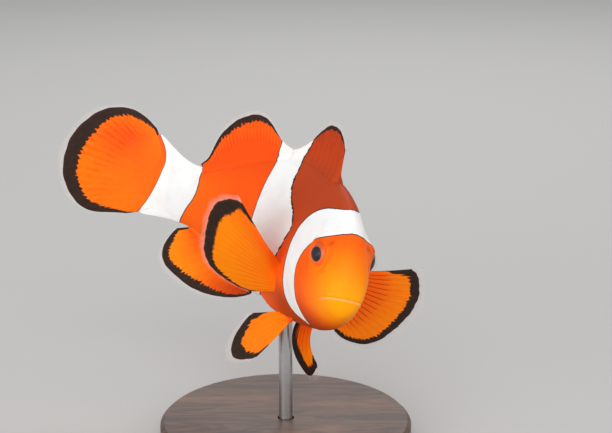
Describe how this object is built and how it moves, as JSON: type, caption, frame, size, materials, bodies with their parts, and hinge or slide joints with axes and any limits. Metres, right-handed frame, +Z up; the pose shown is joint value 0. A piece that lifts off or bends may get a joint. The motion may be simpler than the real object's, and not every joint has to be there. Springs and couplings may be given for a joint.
{
  "type": "clownfish display model",
  "caption": "Life-size ocellaris clownfish, bent in a turn with fins spread, held on a rod over a small round base.",
  "frame": {"origin": "centre of the stand base's underside, where it rests on a table", "axes": "+Z up, -Y towards the viewer that the fish faces, +X to that viewer's right"},
  "size_m": [0.0721, 0.0525, 0.0605],
  "materials": {
    "skin": "smooth moist skin with small scales, orange with white bands edged in black",
    "fin": "thin rayed membrane, orange with a black margin and a clear fringe",
    "eye": "wet gloss over a dark pupil and an orange iris",
    "stand_wood": "dark satin-waxed walnut",
    "stand_steel": "fine brushed steel rod"
  },
  "bodies": {
    "root": {"head": "skin", "lower_jaw": "skin", "gill_cover_left": "skin", "gill_cover_right": "skin", "trunk": "skin", "tail_stalk": "skin", "dorsal_fin_spiny": "fin", "dorsal_fin_soft": "fin", "anal_fin": "fin", "caudal_fin": "fin", "pectoral_fin_left": "fin", "pectoral_fin_right": "fin", "pelvic_fin_left": "fin", "pelvic_fin_right": "fin", "eye_left": "eye", "eye_right": "eye", "stand_base": "stand_wood", "stand_rod": "stand_steel"}
  },
  "joints": []
}
